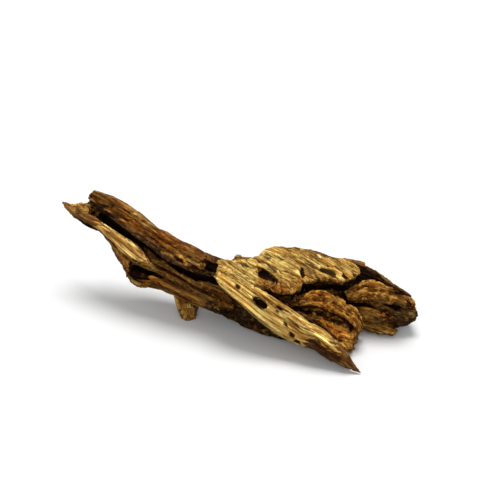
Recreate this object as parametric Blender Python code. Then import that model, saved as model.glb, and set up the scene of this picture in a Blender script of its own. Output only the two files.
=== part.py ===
"""Agarwood piece: one hollowed, splintered shard of resinous wood, about 13 cm long.

The shard is carved out of a trunk, so it is one solid. Its left half is a raised gutter with a
rim above and below its groove. Its right half is a broad shell: a weathered roof over an open
cavity, a front strip that runs out to a pointed spike, and two rough lobes that form the floor
of the cavity. A short broken stub under the gutter and the undersides of the shell carry it.

Stations are in millimetres: X runs along the grain, Y to the back, Z up from the floor.
"""

import math
import random

import bmesh
import bpy
from mathutils import Vector, noise

MM = 0.001

# Driving dimensions, in millimetres
RING_PITCH = 1.6            # spacing of the lofted rings along a stave
STAVE_SIDES = 16            # corners round a stave
FIBRE_SIDES = 6             # corners round a fibre
SQUARENESS = 2.8            # 2 is an ellipse, more is a box with rounded corners
THINNEST = 0.25             # least half thickness of a tip
UNION_VOXEL = 0.7           # fineness at which the staves grow together
SKIN_VOXEL = 0.85           # fineness of the surface that the grain is cut into
GRAIN_DROP = 0.24           # how far the grain falls for each unit along X
RIDGE_WIDTH = 3.2           # spacing of the weathered ridges across the grain
RIDGE_LENGTH = 26.0         # their length along the grain
RIDGE_DEPTH = 0.75          # how far they stand out or lie in
LUMP_SIZE = 9.0             # size of the broad hollows and swellings
LUMP_DEPTH = 0.7
LUMP_OFFSET = Vector((3.7, 1.2, 5.5))
CRUMB_SIZE = 2.2            # size of the crumbly lumps inside the cavity
CRUMB_DEPTH = 0.65
FACES_KEPT = 9400           # triangles of the finished solid
FLOOR_REACH = 0.25 * MM     # what comes this near the floor is set flat on it
SMALLEST_EDGE = 0.02 * MM

WOOD_COLOUR = (0.34, 0.19, 0.06, 1.0)
WOOD_ROUGHNESS = 0.7

# A station is x, y, z, half width, half thickness, and the roll of the width in degrees,
# from 0 where it lies flat to 90 where it stands on edge.
STAVES = {
    # The gutter
    "gutter_body": [
        (-60, 6.4, 30.2, 2.6, 2.4, 80),
        (-53, 6.4, 28.4, 4.0, 3.4, 80),
        (-45, 6.0, 25.4, 5.0, 4.4, 82),
        (-37, 5.8, 21.2, 6.4, 5.2, 84),
        (-28, 6.0, 17.8, 7.8, 6.0, 88),
        (-18, 6.8, 15.4, 8.0, 6.6, 92),
        (-8, 8.2, 13.4, 8.4, 7.2, 94),
        (4, 9.8, 12.0, 8.6, 7.4, 94),
    ],
    "upper_rim": [
        (-59.6, 4.6, 35.2, 3.2, 1.7, 60),
        (-53, 4.3, 33.9, 3.7, 2.0, 60),
        (-44, 3.0, 32.4, 3.7, 2.1, 60),
        (-36, 2.4, 29.6, 3.2, 2.1, 57),
        (-27, 1.6, 27.2, 3.0, 2.1, 57),
        (-19, 1.2, 25.2, 3.7, 2.0, 66),
        (-12, 0.8, 24.0, 3.5, 1.8, 68),
        (-5.5, 0.0, 24.4, 1.8, 1.4, 66),
    ],
    "lower_rim": [
        (-71.6, 3.4, 30.6, 0.5, 0.5, 78),
        (-66, 2.8, 28.6, 2.2, 1.1, 78),
        (-60.5, 2.6, 28.6, 3.3, 1.6, 76),
        (-55, 2.2, 27.4, 3.0, 1.9, 76),
        (-51, 1.8, 25.8, 2.7, 2.0, 75),
        (-45.5, 1.0, 22.0, 3.4, 2.4, 74),
        (-39, 0.6, 15.6, 5.2, 2.8, 72),
        (-32, 1.8, 13.6, 4.8, 3.4, 60),
        (-22, 1.8, 13.2, 4.4, 3.6, 52),
        (-13, 2.4, 11.0, 4.4, 4.0, 45),
        (-3, 3.4, 9.0, 4.4, 4.2, 35),
    ],
    "inner_ridge": [
        (-42, 0.8, 20.4, 2.4, 2.0, 60),
        (-35, -0.2, 19.0, 2.8, 2.2, 58),
        (-27, -0.2, 18.4, 3.0, 2.2, 56),
        (-20, -0.2, 16.6, 2.8, 2.0, 54),
        (-13, 0.0, 14.6, 2.6, 2.0, 52),
        (-6, 0.4, 13.4, 2.6, 2.0, 50),
        (2, 1.2, 11.8, 2.0, 1.6, 50),
    ],
    "pale_tongue": [
        (-62, 0.8, 29.8, 1.3, 0.8, 62),
        (-55, 0.0, 28.8, 2.1, 1.0, 62),
        (-49, -1.0, 27.4, 2.8, 1.1, 64),
        (-43.5, -1.8, 25.8, 3.5, 1.2, 66),
        (-39.5, -2.3, 24.2, 3.4, 1.2, 66),
        (-35, -2.6, 22.2, 2.2, 1.1, 64),
        (-30.5, -2.5, 20.4, 0.4, 0.4, 62),
    ],
    "lip": [
        (-42.5, -1.2, 19.8, 1.3, 0.8, 78),
        (-40, -1.8, 15.6, 1.6, 0.9, 64),
        (-37, -1.9, 12.4, 2.0, 1.0, 34),
        (-33, -1.0, 11.0, 1.8, 1.0, 12),
        (-28, 0.6, 12.0, 0.8, 0.7, 4),
    ],
    "stub": [
        (-23, 7.5, 11.0, 4.0, 3.2, 0),
        (-20.5, 4.6, 6.2, 4.0, 3.2, 0),
        (-18.6, 2.8, 2.2, 3.9, 3.0, 0),
        (-17.8, 2.2, -1.2, 3.7, 2.8, 0),
    ],
    # The shell
    "roof": [
        (-6, 1.6, 25.2, 2.6, 1.4, 20),
        (0, 3.8, 23.6, 4.6, 1.9, 9),
        (6, 7.2, 22.6, 7.2, 2.1, 10),
        (12, 12.8, 21.8, 12.0, 2.2, 13),
        (17, 15.4, 21.1, 10.8, 2.1, 12),
        (21, 18.6, 21.6, 7.9, 1.9, 12),
        (26, 21.0, 22.0, 6.4, 1.6, 11),
        (32, 23.0, 21.9, 6.4, 1.6, 11),
        (35.5, 23.6, 21.4, 4.8, 1.6, 10),
        (37.8, 22.8, 21.0, 2.6, 1.2, 10),
    ],
    "core": [
        (-8, 6.0, 17.0, 5.0, 5.0, 20),
        (0, 8.6, 16.2, 7.2, 5.4, 12),
        (8, 12.5, 16.5, 10.5, 5.4, 12),
        (14, 14.5, 15.8, 10.5, 4.4, 12),
        (18, 16.0, 15.0, 8.0, 2.8, 12),
    ],
    "front_strip": [
        (-5.5, 0.2, 24.6, 2.0, 1.4, 50),
        (0, -0.6, 22.4, 3.6, 1.9, 45),
        (8, -0.8, 18.9, 4.0, 2.0, 45),
        (15.5, -0.4, 15.0, 4.5, 2.0, 56),
        (22, 0.5, 11.9, 4.7, 2.0, 66),
        (28, 0.8, 9.9, 4.1, 1.9, 68),
        (33, 1.3, 9.2, 3.2, 1.7, 66),
        (38, 1.6, 6.6, 3.1, 1.6, 68),
        (43, 1.8, 3.8, 2.4, 1.3, 68),
        (49, 2.0, 0.9, 0.4, 0.4, 68),
    ],
    "spike_back": [
        (20, 5.0, 10.6, 3.4, 2.4, 30),
        (30, 5.6, 7.4, 3.2, 2.8, 30),
        (38, 4.8, 4.2, 2.6, 2.4, 30),
        (44.5, 3.2, 1.4, 0.9, 0.9, 30),
    ],
    "middle_lobe": [
        (2, 10.0, 9.6, 8.0, 6.2, 10),
        (12, 10.6, 9.8, 9.0, 5.2, 12),
        (20, 11.5, 9.6, 8.6, 4.8, 14),
        (28, 12.8, 7.8, 9.0, 4.6, 16),
        (35, 13.2, 5.6, 8.6, 4.2, 22),
        (39.5, 14.6, 4.4, 6.4, 3.6, 26),
        (41.5, 15.0, 4.0, 4.4, 2.8, 26),
    ],
    "right_lobe": [
        (3, 19.0, 9.6, 7.0, 5.0, 70),
        (10, 22.4, 8.6, 8.4, 6.0, 70),
        (18, 26.0, 8.6, 8.6, 6.0, 66),
        (28, 29.4, 8.4, 8.0, 5.6, 56),
        (37, 31.2, 8.0, 7.4, 5.0, 48),
        (45, 32.2, 7.4, 6.4, 4.6, 46),
        (53.5, 32.4, 7.4, 4.4, 3.8, 46),
    ],
    "right_spur": [
        (28, 25.0, 5.0, 3.6, 3.0, 30),
        (37, 25.4, 3.4, 3.4, 2.2, 24),
        (44, 25.8, 2.4, 3.0, 1.6, 20),
        (50.5, 26.4, 1.8, 1.6, 1.0, 16),
    ],
    "back_wall": [
        (-6, 12.0, 16.0, 6.4, 4.2, 84),
        (4, 16.0, 15.4, 6.6, 4.2, 80),
        (14, 25.0, 16.4, 8.2, 3.6, 78),
        (24, 28.6, 15.4, 7.0, 3.0, 78),
        (34, 32.0, 15.0, 6.4, 2.4, 78),
    ],
    "underside": [
        (-14, 7.5, 7.8, 4.0, 4.0, 0),
        (-5, 8.5, 6.4, 5.0, 4.4, 0),
        (4, 9.4, 4.4, 6.0, 4.6, 0),
        (13, 11.0, 4.0, 7.0, 4.4, 0),
        (25, 14.0, 4.0, 7.0, 4.0, 0),
    ],
}

# Staves that stand in the hollows, and so join the rest once those are cut
INNER_STAVES = {
    "lobe_layer": [
        (18, 7.8, 15.2, 2.2, 1.4, 20),
        (24, 10.4, 16.0, 3.0, 1.6, 20),
        (29, 12.4, 15.7, 3.2, 1.7, 22),
        (34, 14.2, 13.6, 3.2, 1.7, 26),
        (38.5, 15.2, 11.4, 3.0, 1.7, 34),
        (41.5, 15.6, 8.4, 2.4, 1.5, 46),
        (42.5, 15.4, 6.0, 1.2, 1.0, 56),
    ],
    "end_crest": [
        (33, 23.6, 12.4, 2.4, 2.0, 40),
        (38, 25.8, 15.0, 2.9, 2.2, 48),
        (43, 27.4, 15.2, 2.7, 2.2, 50),
        (48, 29.2, 14.4, 2.4, 2.0, 50),
        (52, 30.4, 12.6, 1.6, 1.4, 50),
    ],
    "roof_splinter": [
        (28, 28.4, 20.8, 3.0, 1.2, 66),
        (36, 30.4, 19.2, 3.2, 1.2, 70),
        (41, 30.8, 18.0, 2.8, 1.1, 72),
        (46, 30.0, 17.4, 2.0, 1.0, 72),
        (50.5, 28.8, 17.4, 1.2, 0.8, 72),
        (55.5, 27.2, 17.9, 0.5, 0.5, 72),
    ],
}

# Fibres that lie in the surface of a stave: how many, their half width, and how far their ends
# may fall short of the stave's own ends (below 0) or stand past them, in millimetres
FIBRES = {
    "gutter_body": (22, 1.2, (-9, 2), (-20, 0)),
    "upper_rim": (12, 0.9, (-7, 1), (-14, 0)),
    "lower_rim": (14, 1.0, (-10, 0), (-16, 0)),
    "inner_ridge": (8, 0.8, (-10, 0), (-10, 0)),
    "roof": (30, 1.5, (-16, 1), (-12, 1.5)),
    "front_strip": (10, 0.8, (-18, 0), (-14, 0)),
    "roof_splinter": (4, 0.6, (-6, 0), (-12, 0)),
    "end_crest": (8, 0.8, (-8, 0), (-8, 0)),
    "lobe_layer": (7, 0.9, (-8, 0), (-8, 0)),
    "middle_lobe": (16, 1.3, (-14, 0), (-8, 1)),
    "right_lobe": (22, 1.3, (-16, 0), (-10, 2)),
    "right_spur": (7, 0.9, (-8, 0), (-7, 1)),
    "back_wall": (18, 1.3, (-12, 0), (-14, 3)),
    "underside": (16, 1.2, (-10, 2), (-14, 2)),
    "lip": (6, 0.7, (-6, 0), (-6, 0)),
    "stub": (10, 0.9, (-3, 0), (-2, 0)),
}

# What is hollowed out, as staves of the same kind
HOLLOWS = {
    "groove": [
        (-72, 6.4, 36.0, 3.0, 2.2, 144),
        (-62, 5.0, 33.6, 3.6, 1.6, 144),
        (-53, 2.8, 30.2, 4.6, 1.5, 144),
        (-45, 1.9, 27.6, 5.2, 1.4, 144),
        (-37, 1.5, 25.2, 5.2, 1.3, 144),
        (-28, 1.3, 22.8, 5.0, 1.3, 144),
        (-20, 1.2, 19.6, 4.8, 1.5, 144),
        (-13, 1.2, 18.4, 4.4, 1.5, 144),
        (-7, 1.2, 19.4, 3.4, 1.4, 144),
        (-3, 1.5, 20.5, 1.6, 1.0, 144),
    ],
    "nose_notch": [
        (-10.5, -0.6, 25.8, 1.4, 1.0, 144),
        (-7.4, -0.4, 25.8, 2.6, 2.0, 144),
        (-4.8, -0.2, 26.0, 1.3, 1.1, 144),
    ],
    "knot_hole": [
        (-39, 0.6, 15.6, 1.6, 0.8, 144),
        (-36, 0.4, 15.8, 4.4, 1.7, 144),
        (-32.5, 0.4, 15.2, 4.4, 1.6, 144),
        (-28.5, 0.6, 14.2, 2.6, 1.0, 144),
        (-23, 0.8, 12.8, 1.6, 0.7, 144),
    ],
    "cavity": [
        (15, 8.0, 16.2, 2.0, 0.7, 12),
        (19, 11.5, 17.0, 6.0, 1.2, 14),
        (24, 16.5, 16.4, 7.6, 3.2, 14),
        (30, 20.5, 15.7, 8.2, 4.6, 14),
        (36, 23.5, 15.4, 9.0, 4.8, 14),
        (42, 25.5, 15.6, 9.4, 4.4, 16),
        (49, 27.5, 16.0, 9.0, 3.8, 16),
    ],
    "end_hollow": [
        (40, 28.4, 12.0, 1.4, 0.9, 46),
        (44.5, 28.8, 11.0, 2.8, 1.9, 46),
        (50, 29.4, 9.9, 3.2, 2.3, 46),
        (57, 30.0, 8.8, 3.0, 2.0, 46),
    ],
    "roof_pit": [
        (6, 9.4, 25.4, 1.2, 0.6, 90),
        (8.5, 7.6, 24.2, 2.6, 1.3, 90),
        (11.5, 5.9, 23.0, 3.0, 1.5, 90),
        (14, 4.6, 21.8, 2.4, 1.0, 90),
        (16.5, 3.0, 20.6, 1.0, 0.5, 90),
    ],
    "strip_pit": [
        (10.5, -1.6, 19.2, 0.9, 0.6, 130),
        (13, -1.2, 17.6, 2.0, 1.6, 130),
        (16, -1.2, 16.6, 0.9, 0.6, 130),
    ],
}


def smooth(a, b, c, d, t):
    """Catmull-Rom value between b and c."""
    return 0.5 * (2 * b + (c - a) * t + (2 * a - 5 * b + 4 * c - d) * t * t + (3 * b - a - 3 * c + d) * t**3)


def sampled(stations):
    """The stations again, closer together and on one smooth path."""
    rings = []
    last = len(stations) - 1
    for i in range(last):
        a, b, c, d = (stations[min(max(j, 0), last)] for j in (i - 1, i, i + 1, i + 2))
        length = (Vector(c[:3]) - Vector(b[:3])).length
        steps = max(2, round(length / RING_PITCH))
        for k in range(steps):
            rings.append([smooth(*values, k / steps) for values in zip(a, b, c, d)])
    rings.append(list(stations[-1]))
    return rings


def with_frames(rings):
    """Each ring with the directions of its width and its thickness."""
    framed = []
    for i, (x, y, z, wide, thick, roll) in enumerate(rings):
        ahead = Vector(rings[min(i + 1, len(rings) - 1)][:3])
        behind = Vector(rings[max(i - 1, 0)][:3])
        along = (ahead - behind).normalized()
        side = Vector((0, 0, 1)).cross(along)
        side = side.normalized() if side.length > 0.3 else Vector((0, 1, 0))
        turn = math.radians(roll)
        broad = side * math.cos(turn) + along.cross(side) * math.sin(turn)
        framed.append((Vector((x, y, z)), broad, along.cross(broad), wide, thick, roll))
    return framed


def rounded_box(angle):
    """A point of the cross-section, which is a box with rounded corners."""
    power = 2 / SQUARENESS
    c, s = math.cos(angle), math.sin(angle)
    return math.copysign(abs(c) ** power, c), math.copysign(abs(s) ** power, s)


def add_stave(bm, stations, sides=STAVE_SIDES):
    """One closed tapering strand of wood through its stations."""
    loops = []
    for middle, broad, flat, wide, thick, _ in with_frames(sampled(stations)):
        loop = []
        for k in range(sides):
            u, v = rounded_box(2 * math.pi * (k + 0.5) / sides)
            out = broad * (max(wide, THINNEST) * u) + flat * (max(thick, THINNEST) * v)
            loop.append(bm.verts.new((middle + out) * MM))
        loops.append(loop)
    for one, two in zip(loops, loops[1:]):
        for k in range(sides):
            n = (k + 1) % sides
            bm.faces.new((one[k], one[n], two[n], two[k]))
    bm.faces.new(list(reversed(loops[0])))
    bm.faces.new(loops[-1])


def add_fibres(bm, stations, count, size, start_reach, end_reach, chance):
    """Thin strands laid in the surface of a stave, with uneven ends."""
    rings = with_frames(sampled(stations))
    length = sum((b[0] - a[0]).length for a, b in zip(rings, rings[1:]))
    pitch = length / (len(rings) - 1)
    for k in range(count):
        u, v = rounded_box(2 * math.pi * (k + chance.uniform(0.2, 0.8)) / count)
        start = chance.uniform(*start_reach)
        end = chance.uniform(*end_reach)
        first = max(0, round(-start / pitch))
        last = len(rings) - 1 - max(0, round(-end / pitch))
        if last - first < 3:
            continue
        half = size * chance.uniform(0.7, 1.25)
        inset = chance.uniform(0.86, 1.0)
        path = []
        for middle, broad, flat, wide, thick, roll in rings[first : last + 1 : 2]:
            spot = middle + broad * (wide * u * inset) + flat * (thick * v * inset)
            path.append([*spot, half, half * 0.7, roll + math.degrees(math.atan2(u, -v))])
        if len(path) < 3:
            continue
        for tip, inner, reach in ((0, 1, start), (-1, -2, end)):
            away = (Vector(path[tip][:3]) - Vector(path[inner][:3])).normalized()
            spot = Vector(path[tip][:3]) + away * max(reach, 0)
            path[tip][:5] = [*spot, half * 0.25, half * 0.2]
        add_stave(bm, [tuple(p) for p in path], FIBRE_SIDES)


def stave_object(name, staves, fibres):
    """All the staves, and the fibres in them, as overlapping closed shells in one object."""
    bm = bmesh.new()
    for stave, stations in staves.items():
        add_stave(bm, stations)
        if stave in fibres:
            add_fibres(bm, stations, *fibres[stave], random.Random(stave))
    bmesh.ops.recalc_face_normals(bm, faces=bm.faces)
    mesh = bpy.data.meshes.new(name)
    bm.to_mesh(mesh)
    bm.free()
    obj = bpy.data.objects.new(name, mesh)
    bpy.context.scene.collection.objects.link(obj)
    return obj


def apply_modifiers(obj):
    """Replaces the object's mesh by what its modifiers make of it."""
    graph = bpy.context.evaluated_depsgraph_get()
    made = bpy.data.meshes.new_from_object(obj.evaluated_get(graph))
    obj.modifiers.clear()
    obj.data = made


def grow_together(obj, voxel):
    remesh = obj.modifiers.new("one_skin", "REMESH")
    remesh.mode = "VOXEL"
    remesh.voxel_size = voxel * MM
    apply_modifiers(obj)


def hollow_out(obj, cutter):
    cut = obj.modifiers.new("hollows", "BOOLEAN")
    cut.operation = "DIFFERENCE"
    cut.object = cutter
    cut.solver = "EXACT"
    apply_modifiers(obj)


def take_in(obj, other):
    """Adds the other object's shells to this one's mesh."""
    bm = bmesh.new()
    bm.from_mesh(obj.data)
    bm.from_mesh(other.data)
    bm.to_mesh(obj.data)
    bm.free()
    bpy.data.objects.remove(other)


def weather(obj):
    """Cuts the ridges along the grain, broad hollows, and crumbly lumps inside the cavity."""
    bm = bmesh.new()
    bm.from_mesh(obj.data)
    bm.normal_update()
    moves = []
    for vert in bm.verts:
        x, y, z = vert.co / MM
        fall = z + GRAIN_DROP * x
        ridge = noise.noise(Vector((x / RIDGE_LENGTH, y / RIDGE_WIDTH, fall / RIDGE_WIDTH)))
        lump = noise.noise(Vector((x / LUMP_SIZE / 1.8, y / LUMP_SIZE, fall / LUMP_SIZE)) + LUMP_OFFSET)
        crumb = noise.noise(Vector((x, y, z)) / CRUMB_SIZE)
        inside = crumbly(x, y, z)
        depth = RIDGE_DEPTH * (0.35 - 2 * abs(ridge)) * (1 - inside)
        depth += LUMP_DEPTH * lump + CRUMB_DEPTH * crumb * inside
        moves.append(vert.normal * (depth * MM))
    for vert, move in zip(bm.verts, moves):
        vert.co += move
    stand_on_floor(bm)
    bm.to_mesh(obj.data)
    bm.free()


def crumbly(x, y, z):
    """1 on the rough wood inside the shell and at its right end, 0 on the weathered outside."""
    right = min(max((x - 16) / 8, 0), 1)
    low = min(max((22 - 0.1 * x - z) / 3, 0), 1)
    behind_strip = min(max((y - 4.5) / 3, 0), 1)
    return right * low * behind_strip


def stand_on_floor(bm):
    """Cuts what would lie under the floor off flat, so that the piece rests on real faces."""
    everything = bm.verts[:] + bm.edges[:] + bm.faces[:]
    bmesh.ops.bisect_plane(bm, geom=everything, plane_co=(0, 0, 0), plane_no=(0, 0, -1), clear_outer=True)
    bmesh.ops.holes_fill(bm, edges=[e for e in bm.edges if e.is_boundary])
    bmesh.ops.triangulate(bm, faces=bm.faces)
    bmesh.ops.recalc_face_normals(bm, faces=bm.faces)


def drop_crumbs(bm):
    """Removes every loose bit, and keeps the one large shell."""
    shells = []
    left = set(bm.verts)
    while left:
        shell = {left.pop()}
        edge_of_shell = list(shell)
        while edge_of_shell:
            vert = edge_of_shell.pop()
            for edge in vert.link_edges:
                other = edge.other_vert(vert)
                if other in left:
                    left.remove(other)
                    shell.add(other)
                    edge_of_shell.append(other)
        shells.append(shell)
    largest = max(shells, key=len)
    bmesh.ops.delete(bm, geom=[v for s in shells if s is not largest for v in s], context="VERTS")


def thin_out(obj, faces_kept):
    """Fewer, larger triangles where the surface is plain."""
    faces = sum(len(p.vertices) - 2 for p in obj.data.polygons)
    thin = obj.modifiers.new("fewer_faces", "DECIMATE")
    thin.ratio = faces_kept / faces
    apply_modifiers(obj)


def finish(obj):
    """Stands the piece on the floor with the middle of its box over the origin."""
    bm = bmesh.new()
    bm.from_mesh(obj.data)
    drop_crumbs(bm)
    for vert in bm.verts:
        if vert.co.z < FLOOR_REACH:
            vert.co.z = 0.0
    bmesh.ops.dissolve_degenerate(bm, edges=bm.edges, dist=SMALLEST_EDGE)
    bmesh.ops.triangulate(bm, faces=bm.faces)
    bmesh.ops.recalc_face_normals(bm, faces=bm.faces)
    if bm.calc_volume(signed=True) < 0:
        bmesh.ops.reverse_faces(bm, faces=bm.faces)
    xs = [v.co.x for v in bm.verts]
    ys = [v.co.y for v in bm.verts]
    middle = Vector((min(xs) + max(xs), min(ys) + max(ys), 0)) / 2
    bmesh.ops.translate(bm, verts=bm.verts, vec=-middle)
    bm.to_mesh(obj.data)
    bm.free()
    return -middle


def wood_material():
    wood = bpy.data.materials.new("wood")
    wood.diffuse_color = WOOD_COLOUR
    wood.use_nodes = True
    shader = wood.node_tree.nodes["Principled BSDF"]
    shader.inputs["Base Color"].default_value = WOOD_COLOUR
    shader.inputs["Roughness"].default_value = WOOD_ROUGHNESS
    return wood


def build():
    for old in list(bpy.data.objects):
        bpy.data.objects.remove(old)
    piece = stave_object("agarwood_piece", STAVES, FIBRES)
    grow_together(piece, UNION_VOXEL)
    hollows = stave_object("hollows", HOLLOWS, {})
    grow_together(hollows, UNION_VOXEL)
    hollow_out(piece, hollows)
    bpy.data.objects.remove(hollows)
    take_in(piece, stave_object("inner_staves", INNER_STAVES, FIBRES))
    grow_together(piece, SKIN_VOXEL)
    weather(piece)
    thin_out(piece, FACES_KEPT)
    shift = finish(piece)
    piece.data.materials.append(wood_material())
    return shift


DRAFT_SHIFT = build()
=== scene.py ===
"""Looks of the agarwood piece: a hollowed, splintered shard of resinous wood.

The shard is grown again from the staves of the solid, but finer, and then weathered along its grain.
Each point of its mesh carries the direction of the grain, the tone of its wood, with painted shade under
the shard, how far it lies in a hollow, how sharply it stands out and how far it faces up, and the
material reads these: it paints shade into creases, hollows and down-turned sides, and lightens ridges
as wear and painted highlight.

Staves are in millimetres in the frame they were drawn in, which DRAFT_SHIFT moves to the row frame.
"""

import math
import random

import bmesh
import bpy
import numpy as np
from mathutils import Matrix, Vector, noise
from mathutils.bvhtree import BVHTree


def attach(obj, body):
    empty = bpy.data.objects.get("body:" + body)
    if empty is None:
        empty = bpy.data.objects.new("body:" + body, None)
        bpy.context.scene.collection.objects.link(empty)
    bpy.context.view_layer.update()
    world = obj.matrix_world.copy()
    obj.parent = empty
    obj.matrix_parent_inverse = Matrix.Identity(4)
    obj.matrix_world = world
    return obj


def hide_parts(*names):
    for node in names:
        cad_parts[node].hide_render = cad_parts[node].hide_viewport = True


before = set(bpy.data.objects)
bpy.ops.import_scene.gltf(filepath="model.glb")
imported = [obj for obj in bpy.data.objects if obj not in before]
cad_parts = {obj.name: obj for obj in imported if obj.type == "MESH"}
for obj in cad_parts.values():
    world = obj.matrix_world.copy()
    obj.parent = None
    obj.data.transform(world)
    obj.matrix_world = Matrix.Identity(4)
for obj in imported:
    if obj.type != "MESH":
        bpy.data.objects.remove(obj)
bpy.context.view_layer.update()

MM = 0.001
DRAFT_SHIFT = Vector((8.15, -16.96, 0.0))

# The photograph's viewpoint
AZIMUTH = 30.0
ELEVATION = 32.0
CAMERA_DISTANCE = 0.45
CAMERA_LENS = 90.0
CAMERA_SENSOR = 36.0
CAMERA_CLIP = 0.01
CAMERA_AIM = (-0.0009, 0.01294, 0.015)

# Growing the shard
RING_PITCH = 1.6            # spacing of the lofted rings along a stave
STAVE_SIDES = 16            # corners round a stave
FIBRE_SIDES = 6             # corners round a fibre
SQUARENESS = 2.8            # 2 is an ellipse, more is a box with rounded corners
THINNEST = 0.25             # least half thickness of a tip
UPRIGHT = 0.3               # a stave whose level side is shorter than this stands upright
FIBRE_STRAY = (0.2, 0.8)    # where in its share of the stave's girth a fibre lies
FIBRE_SIZES = (0.7, 1.25)   # how much thinner or thicker than its kind a fibre is
FIBRE_INSET = (0.86, 1.0)   # how far out in the stave's section it lies
FIBRE_FLATNESS = 0.7        # its half thickness over its half width
FIBRE_TIP = (0.25, 0.2)     # half width and half thickness of its ends, over its half width
LEAST_RINGS = 3             # a fibre with fewer rings is left out
GRAIN_STRETCH = 3.0         # the mesh is this much coarser along the grain than across it
FINE_VOXEL = 0.304          # its fineness across the grain
LEAST_SHELL = 60            # a loose bit with fewer corners than this is dropped

# Weathering, as on the solid
GRAIN_DROP = 0.24           # how far the grain falls for each unit along X
RIDGE_WIDTH = 3.2           # spacing of the weathered ridges across the grain
RIDGE_LENGTH = 26.0         # their length along the grain
RIDGE_DEPTH = 0.75          # how far they stand out or lie in
RIDGE_RAISE = 0.35          # share of the ridges' depth that stands out
LUMP_SIZE = 9.0             # size of the broad hollows and swellings
LUMP_STRETCH = 1.8          # how much longer they are along X
LUMP_DEPTH = 0.7
LUMP_OFFSET = Vector((3.7, 1.2, 5.5))
CRUMB_SIZE = 2.2            # size of the crumbly lumps inside the cavity
CRUMB_DEPTH = 0.65

# The crumbly wood starts past this X, behind this Y and below this Z, each over a soft distance,
# and its top falls along X
ROT_X = (16.0, 8.0)
ROT_Y = (4.5, 3.0)
ROT_Z = (22.0, 3.0)
ROT_FALL = 0.1

# Furrows, creases and cracks: width across the grain, length along it, depth, the power that
# narrows them, and the shift that sets one pattern apart from the next
GROOVES = (
    (2.2, 34.0, 0.60, 2, 3.1),
    (0.9, 16.0, 0.40, 3, 7.7),
    (3.6, 30.0, 0.90, 12, 12.9),
)
GROOVE_SHARE = 3.2          # higher leaves more plain wood between them
LEDGES = (3.2, 30.0, 0.38, 5.3)     # width, length, depth and shift of the broken layers
LEDGE_STEPS = 3.4           # how many layers there are
LEDGE_EDGE = (0.42, 0.16)   # where in a layer its edge starts, and how wide it is
GRIT = (1.0, 0.154)         # size and depth of the grit on crumbly wood
LUMPS = (2.4, 0.44)         # size and depth of its lumps
CHIPS = (1.5, 2.4, 1.50)    # width, length and depth of its chips
CHIP_SPREAD = 3.7           # how far apart the heights of neighbouring chips are drawn

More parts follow.
